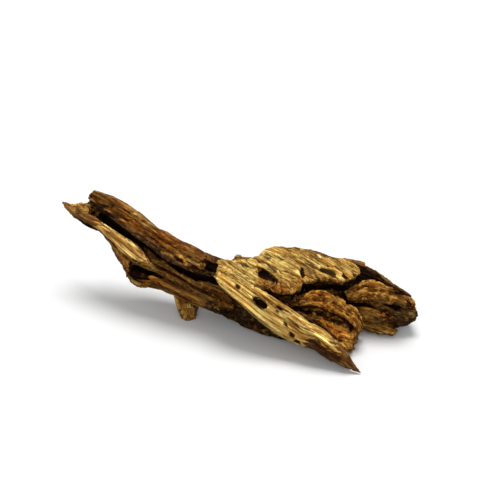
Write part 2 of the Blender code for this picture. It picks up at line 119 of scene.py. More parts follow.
# A station is x, y, z, half width, half thickness, and the roll of the width in degrees,
# from 0 where it lies flat to 90 where it stands on edge.
STAVES = {
    # The gutter
    "gutter_body": [
        (-60, 6.4, 30.2, 2.6, 2.4, 80),
        (-53, 6.4, 28.4, 4.0, 3.4, 80),
        (-45, 6.0, 25.4, 5.0, 4.4, 82),
        (-37, 5.8, 21.2, 6.4, 5.2, 84),
        (-28, 6.0, 17.8, 7.8, 6.0, 88),
        (-18, 6.8, 15.4, 8.0, 6.6, 92),
        (-8, 8.2, 13.4, 8.4, 7.2, 94),
        (4, 9.8, 12.0, 8.6, 7.4, 94),
    ],
    "upper_rim": [
        (-59.6, 4.6, 35.2, 3.2, 1.7, 60),
        (-53, 4.3, 33.9, 3.7, 2.0, 60),
        (-44, 3.0, 32.4, 3.7, 2.1, 60),
        (-36, 2.4, 29.6, 3.2, 2.1, 57),
        (-27, 1.6, 27.2, 3.0, 2.1, 57),
        (-19, 1.2, 25.2, 3.7, 2.0, 66),
        (-12, 0.8, 24.0, 3.5, 1.8, 68),
        (-5.5, 0.0, 24.4, 1.8, 1.4, 66),
    ],
    "lower_rim": [
        (-71.6, 3.4, 30.6, 0.5, 0.5, 78),
        (-66, 2.8, 28.6, 2.2, 1.1, 78),
        (-60.5, 2.6, 28.6, 3.3, 1.6, 76),
        (-55, 2.2, 27.4, 3.0, 1.9, 76),
        (-51, 1.8, 25.8, 2.7, 2.0, 75),
        (-45.5, 1.0, 22.0, 3.4, 2.4, 74),
        (-39, 0.6, 15.6, 5.2, 2.8, 72),
        (-32, 1.8, 13.6, 4.8, 3.4, 60),
        (-22, 1.8, 13.2, 4.4, 3.6, 52),
        (-13, 2.4, 11.0, 4.4, 4.0, 45),
        (-3, 3.4, 9.0, 4.4, 4.2, 35),
    ],
    "inner_ridge": [
        (-42, 0.8, 20.4, 2.4, 2.0, 60),
        (-35, -0.2, 19.0, 2.8, 2.2, 58),
        (-27, -0.2, 18.4, 3.0, 2.2, 56),
        (-20, -0.2, 16.6, 2.8, 2.0, 54),
        (-13, 0.0, 14.6, 2.6, 2.0, 52),
        (-6, 0.4, 13.4, 2.6, 2.0, 50),
        (2, 1.2, 11.8, 2.0, 1.6, 50),
    ],
    "pale_tongue": [
        (-62, 0.8, 29.8, 1.3, 0.8, 62),
        (-55, 0.0, 28.8, 2.1, 1.0, 62),
        (-49, -1.0, 27.4, 2.8, 1.1, 64),
        (-43.5, -1.8, 25.8, 3.5, 1.2, 66),
        (-39.5, -2.3, 24.2, 3.4, 1.2, 66),
        (-35, -2.6, 22.2, 2.2, 1.1, 64),
        (-30.5, -2.5, 20.4, 0.4, 0.4, 62),
    ],
    "lip": [
        (-42.5, -1.2, 19.8, 1.3, 0.8, 78),
        (-40, -1.8, 15.6, 1.6, 0.9, 64),
        (-37, -1.9, 12.4, 2.0, 1.0, 34),
        (-33, -1.0, 11.0, 1.8, 1.0, 12),
        (-28, 0.6, 12.0, 0.8, 0.7, 4),
    ],
    "stub": [
        (-23, 7.5, 11.0, 4.0, 3.2, 0),
        (-20.5, 4.6, 6.2, 4.0, 3.2, 0),
        (-18.6, 2.8, 2.2, 3.9, 3.0, 0),
        (-17.8, 2.2, -1.2, 3.7, 2.8, 0),
    ],
    # The shell
    "roof": [
        (-6, 1.6, 25.2, 2.6, 1.4, 20),
        (0, 3.8, 23.8, 4.6, 1.7, 9),
        (6, 7.2, 22.9, 7.2, 1.7, 10),
        (12, 13.2, 22.4, 11.5, 1.5, 13),
        (16.4, 17.9, 22.7, 9.3, 1.2, 14),
        (20.4, 19.6, 22.3, 7.0, 1.1, 13),
        (25.4, 21.7, 22.5, 5.8, 1.0, 12),
        (31, 23.4, 22.4, 5.8, 1.0, 12),
        (34, 23.8, 21.9, 4.4, 1.0, 10),
        (35.8, 23.2, 21.4, 2.4, 0.8, 10),
    ],
    "core": [
        (-8, 6.0, 17.0, 5.0, 5.0, 20),
        (0, 8.6, 16.2, 7.2, 5.4, 12),
        (8, 12.5, 16.5, 10.5, 5.4, 12),
        (14, 14.5, 15.8, 10.5, 4.4, 12),
        (18, 16.0, 15.0, 8.0, 2.8, 12),
    ],
    "front_strip": [
        (-5.5, 0.2, 24.6, 2.0, 1.4, 50),
        (0, -0.6, 22.4, 3.6, 1.9, 45),
        (8, -0.8, 18.9, 4.0, 2.0, 45),
        (15.5, -0.4, 15.0, 4.5, 2.0, 56),
        (22, 0.5, 11.9, 4.7, 2.0, 66),
        (28, 0.8, 9.9, 4.1, 1.9, 68),
        (33, 1.3, 9.2, 3.2, 1.7, 66),
        (38, 1.6, 6.6, 3.1, 1.6, 68),
        (43, 1.8, 3.8, 2.4, 1.3, 68),
        (49, 2.0, 0.9, 0.4, 0.4, 68),
    ],
    "spike_back": [
        (20, 5.0, 10.6, 3.4, 2.4, 30),
        (30, 5.6, 7.4, 3.2, 2.8, 30),
        (38, 4.8, 4.2, 2.6, 2.4, 30),
        (44.5, 3.2, 1.4, 0.9, 0.9, 30),
    ],
    "middle_lobe": [
        (2, 10.0, 9.6, 8.0, 6.2, 10),
        (12, 10.6, 9.8, 9.0, 5.2, 12),
        (20, 11.5, 9.6, 8.6, 4.8, 14),
        (28, 12.8, 7.8, 9.0, 4.6, 16),
        (35, 13.2, 5.6, 8.6, 4.2, 22),
        (39.5, 14.6, 4.4, 6.4, 3.6, 26),
        (41.5, 15.0, 4.0, 4.4, 2.8, 26),
    ],
    "right_lobe": [
        (-5, 15.0, 11.0, 1.2, 1.0, 74),
        (-1, 16.8, 10.4, 4.6, 3.2, 72),
        (3, 19.0, 9.6, 7.0, 5.0, 70),
        (10, 22.4, 8.6, 8.4, 6.0, 70),
        (18, 26.0, 8.6, 8.6, 6.0, 66),
        (28, 29.4, 8.4, 8.0, 5.6, 56),
        (37, 31.2, 8.0, 7.4, 5.0, 48),
        (45, 32.2, 7.4, 6.4, 4.6, 46),
        (50.5, 32.6, 7.5, 5.2, 4.1, 46),
        (53.2, 32.7, 7.6, 3.7, 3.1, 46),
        (54.8, 32.8, 7.7, 1.6, 1.4, 46),
    ],
    "right_spur": [
        (28, 25.0, 5.0, 3.6, 3.0, 30),
        (37, 25.4, 3.4, 3.4, 2.2, 24),
        (44, 25.8, 2.4, 3.0, 1.6, 20),
        (50.5, 26.4, 1.8, 1.6, 1.0, 16),
    ],
    "back_wall": [
        (-6, 12.0, 16.0, 6.4, 4.2, 84),
        (4, 16.0, 15.4, 6.6, 4.2, 80),
        (14, 25.0, 16.4, 8.2, 3.6, 78),
        (24, 28.6, 15.4, 7.0, 3.0, 78),
        (34, 32.0, 15.0, 6.4, 2.4, 78),
    ],
    "underside": [
        (-14, 7.5, 7.8, 4.0, 4.0, 0),
        (-5, 8.5, 6.4, 5.0, 4.4, 0),
        (4, 9.4, 4.4, 6.0, 4.6, 0),
        (13, 11.0, 4.0, 7.0, 4.4, 0),
        (25, 14.0, 4.0, 7.0, 4.0, 0),
    ],
}

# Staves that stand in the hollows, and so join the rest once those are cut
INNER_STAVES = {
    "tip_knob": [
        (-63.6, 2.6, 32.2, 0.5, 0.5, 70),
        (-62.2, 2.3, 32.0, 1.5, 1.3, 70),
        (-60.4, 1.9, 31.5, 1.9, 1.5, 70),
        (-58.8, 1.7, 31.1, 1.7, 1.4, 70),
        (-57.4, 1.9, 30.7, 0.6, 0.6, 70),
    ],
    "tip_web": [
        (-61.0, 4.8, 32.0, 0.8, 0.7, 70),
        (-58.8, 4.9, 32.0, 2.6, 1.5, 70),
        (-54.5, 5.3, 30.9, 2.5, 1.5, 70),
        (-50.0, 5.6, 29.0, 1.4, 1.2, 70),
    ],
    "lobe_layer": [
        (19, 8.4, 13.6, 2.0, 1.3, 20),
        (24, 10.4, 15.2, 2.9, 1.5, 20),
        (29, 12.4, 15.7, 3.2, 1.7, 22),
        (34, 14.2, 13.6, 3.2, 1.7, 26),
        (38.5, 15.2, 11.4, 3.0, 1.7, 34),
        (41.5, 15.6, 8.4, 2.4, 1.5, 46),
        (42.5, 15.4, 6.0, 1.2, 1.0, 56),
    ],
    "end_crest": [
        (33, 23.6, 12.4, 2.4, 2.0, 40),
        (38, 25.8, 15.0, 2.9, 2.2, 48),
        (43, 27.4, 15.2, 2.7, 2.2, 50),
        (48, 29.2, 14.4, 2.4, 2.0, 50),
        (52, 30.4, 12.6, 1.6, 1.4, 50),
    ],
    "roof_splinter": [
        (28, 28.4, 20.8, 3.0, 1.2, 66),
        (36, 30.4, 19.2, 3.2, 1.2, 70),
        (41, 30.8, 18.0, 2.8, 1.1, 72),
        (46, 30.0, 17.4, 2.0, 1.0, 72),
        (50.5, 28.8, 17.4, 1.2, 0.8, 72),
        (55.5, 27.2, 17.9, 0.5, 0.5, 72),
    ],
}

# A thin sliver that splits off under the left tip
SLIVERS = {
    "tip_sliver": [
        (-65.0, 1.8, 27.3, 0.2, 0.2, 80),
        (-62.5, 1.2, 26.4, 0.55, 0.35, 80),
        (-59.5, 0.9, 25.7, 0.6, 0.4, 80),
        (-56.0, 1.0, 25.0, 0.5, 0.4, 80),
        (-52.0, 1.6, 24.8, 0.3, 0.3, 80),
    ],
}

# Fibres that lie in the surface of a stave: how many, their half width, and how far their ends
# may fall short of the stave's own ends (below 0) or stand past them, in millimetres
FIBRES = {
    "gutter_body": (22, 1.2, (-9, 2), (-20, 0)),
    "upper_rim": (12, 0.9, (-7, 1), (-14, 0)),
    "lower_rim": (14, 1.0, (-10, 0), (-16, 0)),
    "inner_ridge": (8, 0.8, (-10, 0), (-10, 0)),
    "roof": (9, 0.6, (-16, 1), (-12, 0.5)),
    "front_strip": (10, 0.8, (-18, 0), (-14, 0)),
    "roof_splinter": (4, 0.6, (-6, 0), (-12, 0)),
    "end_crest": (8, 0.8, (-8, 0), (-8, 0)),
    "lobe_layer": (7, 0.9, (-8, 0), (-8, 0)),
    "middle_lobe": (16, 1.3, (-14, 0), (-8, 1)),
    "right_lobe": (22, 1.3, (-16, 0), (-10, 2)),
    "right_spur": (7, 0.9, (-8, 0), (-7, 1)),
    "back_wall": (18, 1.3, (-12, 0), (-14, 3)),
    "underside": (16, 1.2, (-10, 2), (-14, 2)),
    "lip": (6, 0.7, (-6, 0), (-6, 0)),
    "stub": (10, 0.9, (-3, 0), (-2, 0)),
}

# What is hollowed out, as staves of the same kind
HOLLOWS = {
    "groove": [
        (-72, 6.4, 36.0, 3.0, 2.2, 144),
        (-62, 5.0, 33.6, 3.6, 1.6, 144),
        (-53, 2.8, 30.2, 4.6, 1.5, 144),
        (-45, 1.9, 27.6, 5.2, 1.4, 144),
        (-37, 1.5, 25.2, 5.2, 1.3, 144),
        (-28, 1.3, 22.8, 5.0, 1.3, 144),
        (-20, 1.2, 19.6, 4.8, 1.5, 144),
        (-13, 1.2, 18.4, 4.4, 1.5, 144),
        (-7, 1.2, 19.4, 3.4, 1.4, 144),
        (-3, 1.5, 20.5, 1.6, 1.0, 144),
    ],
    "nose_notch": [
        (-10.5, -0.6, 25.8, 1.4, 1.0, 144),
        (-7.4, -0.4, 25.8, 2.6, 2.0, 144),
        (-4.8, -0.2, 26.0, 1.3, 1.1, 144),
    ],
    "knot_hole": [
        (-39, 0.6, 15.6, 1.6, 0.8, 144),
        (-36, 0.4, 15.8, 4.4, 1.7, 144),
        (-32.5, 0.4, 15.2, 4.4, 1.6, 144),
        (-28.5, 0.6, 14.2, 2.6, 1.0, 144),
        (-23, 0.8, 12.8, 1.6, 0.7, 144),
    ],
    "cavity": [
        (14, 7.6, 16.6, 2.6, 1.3, 12),
        (19, 11.2, 17.0, 6.4, 2.0, 14),
        (24, 16.5, 16.4, 7.6, 3.2, 14),
        (30, 20.5, 15.7, 8.2, 4.6, 14),
        (36, 23.5, 15.4, 9.0, 4.8, 14),
        (42, 25.5, 15.6, 9.4, 4.4, 16),
        (49, 27.5, 16.0, 9.0, 3.8, 16),
    ],
    "end_hollow": [
        (40, 28.4, 12.0, 1.4, 0.9, 46),
        (44.5, 28.8, 11.0, 2.8, 1.9, 46),
        (50, 29.4, 9.9, 3.2, 2.3, 46),
        (57, 30.0, 8.8, 3.0, 2.0, 46),
    ],
    "roof_pit": [
        (6, 9.4, 25.4, 1.2, 0.6, 90),
        (8.5, 7.6, 24.2, 2.6, 1.3, 90),
        (11.5, 5.9, 23.0, 3.0, 1.5, 90),
        (14, 4.6, 21.8, 2.4, 1.0, 90),
        (16.5, 3.0, 20.6, 1.0, 0.5, 90),
    ],
    "strip_pit": [
        (11.5, -1.5, 18.6, 0.7, 0.5, 130),
        (13.2, -1.2, 17.6, 1.3, 1.3, 130),
        (15.4, -1.2, 16.9, 0.7, 0.5, 130),
    ],
}

# Finer fibres in the surface, as in FIBRES
FINE_FIBRES = {
    "gutter_body": (34, 0.6, (-14, 3), (-30, 0)),
    "upper_rim": (24, 0.5, (-9, 1.5), (-18, 1)),
    "lower_rim": (26, 0.5, (-14, 1), (-26, 0)),
    "inner_ridge": (14, 0.45, (-12, 0), (-14, 1)),
    "pale_tongue": (12, 0.4, (-12, 0), (-12, 1)),
    "roof": (14, 0.5, (-26, 1), (-14, 1)),
    "front_strip": (20, 0.45, (-30, 0), (-24, 1)),
    "roof_splinter": (10, 0.35, (-8, 0), (-14, 0.5)),
    "end_crest": (14, 0.5, (-8, 0), (-8, 1)),
    "middle_lobe": (24, 0.6, (-20, 0), (-10, 1.5)),
    "lobe_layer": (14, 0.5, (-12, 1), (-12, 1)),
    "right_lobe": (34, 0.55, (-24, 0), (-12, 2.5)),
    "right_spur": (14, 0.5, (-10, 0), (-9, 2)),
    "back_wall": (36, 0.6, (-18, 0), (-18, 4)),
    "underside": (30, 0.6, (-14, 3), (-18, 3)),
    "stub": (16, 0.5, (-5, 0), (-3, 0)),
}

# Marks carved along a stave: the X they run from and to, their place across the stave there
# from -1 to 1, half width and depth in mm. They lie on the side that faces up and forward. Their
# dark colour is partly resin and partly painted shade, in the pits and on the roof splinter's inner face.
MARKS = {
    "front_strip": (
        (3.2, 5.8, 0.00, 0.00, 0.8, 1.2),
        (10.0, 15.0, 0.10, 0.22, 0.9, 1.2),
        (18.0, 21.0, 0.75, 0.75, 0.6, 1.2),
        (17.8, 20.2, 0.40, 0.35, 0.5, 1.0),
        (21.4, 24.0, 0.15, -0.05, 0.7, 1.4),
        (23.8, 26.6, -0.30, -0.50, 0.7, 1.5),
        (25.8, 29.0, -0.80, -0.95, 0.9, 1.7),
        (31.0, 43.0, -0.40, -0.20, 0.8, 0.9),
        (14.0, 28.0, 0.60, 0.30, 0.5, 0.7),
        (18.0, 36.0, 0.20, 0.05, 0.4, 0.6),
        (-4.0, 9.0, 0.30, 0.05, 0.3, 0.4),
        (0.0, 14.0, 0.60, 0.35, 0.3, 0.4),
    ),
    "roof": (
        (6.5, 15.5, 0.05, -0.62, 1.0, 1.7),
        (8.7, 23.6, 0.95, -0.60, 0.7, 0.6),
        (18.0, 21.4, 0.00, -0.75, 0.9, 1.8),
        (23.4, 30.4, 0.00, -0.62, 1.0, 1.8),
        (31.4, 35.0, -0.20, -0.70, 0.8, 1.6),
        (2.0, 13.0, 0.45, -0.25, 0.4, 0.5),
        (12.0, 18.8, 0.10, -1.10, 0.5, 0.6),
        (15.0, 20.4, 0.25, -1.05, 0.5, 0.6),
        (14.0, 24.5, 0.75, -0.30, 0.4, 0.5),
        (20.5, 27.0, 0.15, -1.10, 0.5, 0.8),
        (20.0, 31.0, 0.80, -0.20, 0.4, 0.5),
        (25.0, 33.0, 0.30, -1.00, 0.5, 0.8),
        (27.0, 35.0, 0.70, -0.60, 0.5, 0.6),
        (30.0, 36.5, 0.85, 0.00, 0.4, 0.6),
        (1.0, 4.0, 0.25, 0.10, 0.8, 0.6),
        (3.8, 7.0, 0.30, 0.10, 0.8, 0.6),
        (4.2, 7.8, 0.55, 0.40, 0.8, 0.6),
        (8.0, 11.5, 0.15, -0.05, 0.9, 0.6),
        (2.6, 5.6, -0.15, -0.30, 0.7, 0.6),
        (9.2, 12.2, 0.40, 0.25, 0.9, 0.6),
        (14.0, 17.0, 0.00, -0.15, 0.8, 0.6),
        (14.2, 17.4, 0.50, 0.35, 0.9, 0.6),
    ),
    "upper_rim": (
        (-56.0, -20.0, -0.10, -0.20, 0.6, 0.9),
        (-44.0, -10.0, 0.45, 0.30, 0.5, 0.7),
        (-22.0, -17.0, -0.35, -0.40, 0.9, 1.1),
        (-15.0, -11.0, -0.30, -0.40, 0.9, 1.1),
        (-9.8, -4.2, 0.15, 0.00, 1.3, 1.8),
    ),
    "lower_rim": (
        (-62.0, -56.4, -0.25, 0.80, 0.6, 1.1),
        (-39.0, -30.5, 0.10, 0.10, 1.6, 2.6),
        (-30.0, -8.0, 0.40, 0.20, 0.6, 1.2),
        (-24.0, -4.0, -0.15, -0.35, 0.6, 1.0),
    ),
    "pale_tongue": (
        (-56.0, -36.0, 0.30, 0.10, 0.35, 0.5),
        (-50.0, -34.0, -0.25, -0.15, 0.35, 0.5),
    ),
    "inner_ridge": ((-38.0, -6.0, 0.10, 0.10, 0.6, 1.0),),
    "lobe_layer": ((18.0, 41.0, -1.15, -1.15, 0.9, 1.6), (20.0, 36.0, 0.15, 0.0, 0.6, 0.6)),
    "middle_lobe": ((14.0, 24.0, -0.30, -0.35, 1.0, 1.2), (28.0, 40.0, -0.45, -0.65, 1.0, 1.4)),
    "right_lobe": ((22.0, 50.0, 0.35, 0.10, 0.8, 1.3), (26.0, 46.0, -0.20, -0.40, 0.8, 1.2)),
    # The splinter's whole inner face darkened as painted shade of the hollow under the roof
    "roof_splinter": ((28.0, 47.0, -0.15, -0.15, 2.6, 0.8),),
}

# Wood tones
HONEY = (0.34, 0.18, 0.040)
BROWN = (0.17, 0.070, 0.014)
UMBER = (0.060, 0.026, 0.009)

# Tone of each stave, how much of it is resin, and how crumbly it is
WOOD_OF = {
    "gutter_body": ((0.12, 0.048, 0.010), 0.45, 0.0),
    "upper_rim": ((0.16, 0.064, 0.011), 0.52, 0.15),
    "lower_rim": ((0.32, 0.140, 0.024), 0.35, 0.15),
    "inner_ridge": ((0.12, 0.048, 0.009), 0.35, 0.30),
    "pale_tongue": ((0.80, 0.51, 0.15), 0.26, 0.0),
    "stub": (HONEY, 0.55, 0.0),
    "lip": ((0.36, 0.20, 0.060), 0.30, 0.0),
    "roof": ((0.55, 0.36, 0.092), 0.58, 0.0),
    "core": (BROWN, 0.5, 0.5),
    "front_strip": ((0.67, 0.43, 0.115), 0.34, 0.0),
    "spike_back": (UMBER, 0.5, 0.3),
    # Near black: painted shade on the splinter, which hangs over the hollow under the roof
    "roof_splinter": ((0.020, 0.009, 0.004), 0.5, 0.1),
    "end_crest": ((0.26, 0.110, 0.020), 0.28, 0.9),
    "middle_lobe": ((0.54, 0.245, 0.043), 0.16, 0.9),
    "lobe_layer": ((0.24, 0.095, 0.015), 0.26, 0.8),
    "right_lobe": ((0.36, 0.165, 0.030), 0.42, 0.6),
    "right_spur": (HONEY, 0.45, 0.1),
    "back_wall": (HONEY, 0.55, 0.1),
    # Near black: painted shade under the shard
    "underside": ((0.040, 0.018, 0.007), 0.5, 0.3),
    "tip_knob": ((0.66, 0.38, 0.105), 0.12, 0.9),
    "tip_web": ((0.045, 0.020, 0.008), 0.50, 0.3),
    "tip_sliver": ((0.016, 0.007, 0.003), 0.5, 0.0),
}

# Share of the weathering that a stave lacks
CALM = {"tip_sliver": 1.0, "roof": 0.55, "front_strip": 0.55, "pale_tongue": 0.5}

# Marks lie where the wood faces this way
MARKED_SIDE = np.array((0.25, -0.60, 0.75))
MARK_SHARPNESS = 3.0        # how fast they end where it turns away
MARK_FADE = 0.9             # how far from its ends a mark reaches its full depth
MARK_REACH = 1.2            # and how far off its stave it ends
MARK_WANDER = (0.25, 0.45)  # how far it wanders to its side, and how often along X
MARK_PHASE = 5.0            # how far apart the wandering of neighbouring marks starts

# Zones of a stave that differ from the rest of it: the X they run from and to, their places
# across it from and to, and their own tone, resin and crumbliness
ZONES = {
    "roof": (
        (8, 25, -2, -0.66, (0.30, 0.150, 0.034), 0.35, 0.90),
        (25, 60, -2, -0.84, (0.20, 0.098, 0.022), 0.30, 0.80),
    ),
    "front_strip": (
        (32, 60, -2, -0.10, (0.085, 0.038, 0.011), 0.30, 0.10),
        (40, 60, -2, 2, (0.15, 0.070, 0.020), 0.30, 0.10),
    ),
    "upper_rim": (
        (-80, 0, -2, -0.55, (0.045, 0.019, 0.007), 0.60, 0.20),
        (-80, -46, -2, -0.20, (0.035, 0.016, 0.007), 0.50, 0.00),
        (-50, -22, -0.20, 0.40, (0.29, 0.118, 0.017), 0.30, 0.35),
        (-20, -9, -0.35, 0.40, (0.34, 0.18, 0.045), 0.30, 0.90),
        (-80, -14, 0.95, 2, (0.36, 0.20, 0.055), 0.20, 0.00),
    ),
    "lower_rim": (
        (-80, -60, -2, 2, (0.66, 0.36, 0.095), 0.18, 0.20),
        (-60, -46, -2, 2, (0.38, 0.18, 0.042), 0.30, 0.30),
        (-64, -55, -2, -0.86, (0.025, 0.011, 0.005), 0.50, 0.00),
        (-62, -56.5, 0.1, 2, (0.46, 0.26, 0.070), 0.10, 1.00),
        # Painted shade under the front strip
        (-8, 10, -2, 2, (0.040, 0.018, 0.006), 0.50, 0.40),
    ),
    "gutter_body": (
        (-80, -47, -2, 2, (0.035, 0.016, 0.007), 0.50, 0.00),
        # Painted shade under the front strip
        (-4, 10, -2, 2, (0.040, 0.018, 0.006), 0.50, 0.20),
    ),
    # The splinter's top edge keeps brown wood; the rest of it is painted shade
    "roof_splinter": ((-80, 80, 0.72, 2, (0.17, 0.075, 0.018), 0.30, 0.10),),
    "pale_tongue": ((-80, -53, -2, 2, (0.24, 0.115, 0.030), 0.40, 0.10),),
    # Painted shade under the front strip
    "middle_lobe": ((-60, 15, -2, 2, (0.040, 0.018, 0.007), 0.50, 0.40),),
    "right_lobe": ((46, 60, -2, 0.6, (0.085, 0.042, 0.014), 0.45, 0.30),),
}

# How far the bounds of the zones stray along X and across a stave, the size of one stray across
# and along the grain, and how soft the bounds are along X and across a stave
ZONE_STRAY = (6.0, 0.45)
STRAY_SIZE = (0.8, 9.0)
ZONE_SOFTNESS = (1.0, 0.08)

# Slope of the grain where it doesn't follow the stave: rise in Y and in Z along X
GRAIN_OF = {"roof": (-0.20, -0.25)}

# How far from its stave a point still looks like it, and how many points are read at once
NEARNESS = 0.35
BATCH = 20000

# Share of the grooves and ledges that crumbly wood lacks, and the least that counts as crumbly
CRUMB_SMOOTHING = 0.75
LEAST_CRUMB = 0.05

# Recesses: how far the rays look that find them, how many there are, and how far off they start
NEAR_REACH = 2.2
FAR_REACH = 16.0
RAYS = 28
RAY_START = 0.08
GOLDEN_ANGLE = math.pi * (3 - math.sqrt(5))

# How often the skin is smoothed before its points are held against it to find the edges
EDGE_ROUNDS = 6

# Patterns of the wood: scale along and across the grain, detail, roughness and twist
PATTERNS = {
    "fibres": (0.07, 1.3, 4.0, 0.65, 0.0),
    "threads": (0.12, 3.4, 2.0, 0.5, 0.0),
    "lines": (0.035, 0.62, 3.0, 0.55, 0.2),
    "hairs": (0.06, 1.7, 2.0, 0.5, 0.2),
    "bands": (0.04, 0.40, 3.0, 0.55, 0.3),
    "blotches": (0.10, 0.28, 3.0, 0.5, 0.0),
    "streaks": (0.12, 0.55, 3.0, 0.6, 0.4),
    "flecks": (0.8, 1.3, 4.0, 0.6, 0.0),
    "crumbs": (0.8, 1.2, 4.0, 0.6, 0.0),
}

# How light the patterns make the wood: from and to which of their values, and by how much there
SHADES = (
    ("bands", 0.36, 0.64, 0.70, 1.26),
    ("fibres", 0.34, 0.66, 0.46, 1.44),
    ("threads", 0.34, 0.66, 0.64, 1.36),
)
# Thin lines at the middle value of a pattern: how light they are, and how light the rest is
LINES = (("lines", 0.36, 1.0), ("hairs", 0.66, 1.06))
LINE_WIDTH = 0.035
WARMING = (0.86, 1.18, 1.55)        # powers that redden the dark and yellow the light

# What is laid over the tone: where in its pattern it starts and is full, its strength and colour
GOLD = (0.53, 0.58, 0.85, (0.62, 0.33, 0.055, 1.0))
WARM = (0.48, 0.66, 0.75, (0.92, 0.64, 0.32, 1.0))
FLECK = (0.58, 0.72, 0.55, (0.085, 0.030, 0.008, 1.0))

# Resin: where it starts in wood without any, how much sooner in wood full of it, how much further
# it is full, its strength and its colour
RESIN = (0.80, 0.42, 0.08, 0.88, (0.060, 0.022, 0.007, 1.0))

# Lighter ridges, part edge wear and part painted highlight, and painted shade on sides turned
# down from the light: a value of the mesh, where its effect starts and is full, and how much it
# lightens the wood there
WEAR_AND_PAINTED_LIGHT = (
    # edge: ridges lighter, part wear and part painted highlight
    ("edge", 0.05, 0.22, 1.0, 1.4),
    # facing: painted shade, darker the further a side turns down from the light above
    ("facing", -0.4, 0.6, 0.32, 1.0),
)

# Dark marks, partly resin and partly painted shade, and painted shade in creases and in hollows,
# reddened near them: a value of the mesh, where its effect starts and is full, its strength there,
# its colour and how that is laid on
MARKS_AND_PAINTED_SHADE = (
    # marks: dark, partly resin and partly painted shade in pits and on the roof splinter
    ("marks", 0.25, 0.90, 0.92, (0.022, 0.008, 0.003, 1.0), "MIX"),
    # near: painted shade, the wood reddened towards creases
    ("near", 0.06, 0.36, 0.85, (0.90, 0.68, 0.46, 1.0), "MULTIPLY"),
    # near: painted shade, near black deep in creases
    ("near", 0.22, 0.58, 0.90, (0.022, 0.007, 0.002, 1.0), "MIX"),
    # far: painted shade, near black inside hollows
    ("far", 0.50, 0.92, 0.95, (0.010, 0.003, 0.001, 1.0), "MIX"),
)
ROUGHNESS = (0.40, 0.70, 0.78, 0.52)    # from and to which value of the streaks, and there
WOOD_SPECULAR = 0.06
BUMP_STRENGTH = 0.8
BUMP_HEIGHT = 0.5
THREAD_RELIEF = 0.5         # height of the threads and of the grit over that of the fibres
GRIT_RELIEF = 1.5

# Studio, in metres
FLOOR_HALF = 3.0
FLOOR_COLOUR = (0.90, 0.90, 0.90, 1.0)
FLOOR_ROUGHNESS = 0.9
FLOOR_SPECULAR = 0.1
SKY_COLOUR = (1.0, 1.0, 1.0, 1.0)
SKY_STRENGTH = 0.45
LIGHT_AIM = (0, 0, 0.01)
SOFTBOXES = {                       # place, size and power
    "key": ((-0.08, 0.26, 0.92), 0.50, 6.9),
    "front": ((0.25, -0.75, 0.50), 0.60, 1.5),
}


def smooth(a, b, c, d, t):
    """Catmull-Rom value between b and c."""
    slope = c - a
    bend = 2 * a - 5 * b + 4 * c - d
    twist = 3 * b - a - 3 * c + d
    return 0.5 * (2 * b + slope * t + bend * t * t + twist * t**3)


def sampled(stations):
    """The stations again, closer together and on one smooth path."""
    rings = []
    last = len(stations) - 1
    for i in range(last):
        a, b, c, d = (stations[min(max(j, 0), last)] for j in (i - 1, i, i + 1, i + 2))
        length = (Vector(c[:3]) - Vector(b[:3])).length
        steps = max(2, round(length / RING_PITCH))
        for k in range(steps):
            rings.append([smooth(*values, k / steps) for values in zip(a, b, c, d)])
    rings.append(list(stations[-1]))
    return rings


def with_frames(rings):
    """Each ring with the directions of its width and its thickness."""
    framed = []
    for i, (x, y, z, wide, thick, roll) in enumerate(rings):
        ahead = Vector(rings[min(i + 1, len(rings) - 1)][:3])
        behind = Vector(rings[max(i - 1, 0)][:3])
        along = (ahead - behind).normalized()
        side = Vector((0, 0, 1)).cross(along)
        side = side.normalized() if side.length > UPRIGHT else Vector((0, 1, 0))
        turn = math.radians(roll)
        broad = side * math.cos(turn) + along.cross(side) * math.sin(turn)
        framed.append((Vector((x, y, z)), broad, along.cross(broad), wide, thick, roll))
    return framed


def rounded_box(angle):
    """A point of the cross-section, which is a box with rounded corners."""
    power = 2 / SQUARENESS
    c, s = math.cos(angle), math.sin(angle)
    return math.copysign(abs(c) ** power, c), math.copysign(abs(s) ** power, s)


def add_stave(bm, stations, sides=STAVE_SIDES):
    """One closed tapering strand of wood through its stations."""
    loops = []
    for middle, broad, flat, wide, thick, _ in with_frames(sampled(stations)):
        loop = []
        for k in range(sides):
            u, v = rounded_box(2 * math.pi * (k + 0.5) / sides)
            out = broad * (max(wide, THINNEST) * u) + flat * (max(thick, THINNEST) * v)
            loop.append(bm.verts.new((middle + out) * MM))
        loops.append(loop)
    for one, two in zip(loops, loops[1:]):
        for k in range(sides):
            n = (k + 1) % sides
            bm.faces.new((one[k], one[n], two[n], two[k]))
    bm.faces.new(list(reversed(loops[0])))
    bm.faces.new(loops[-1])


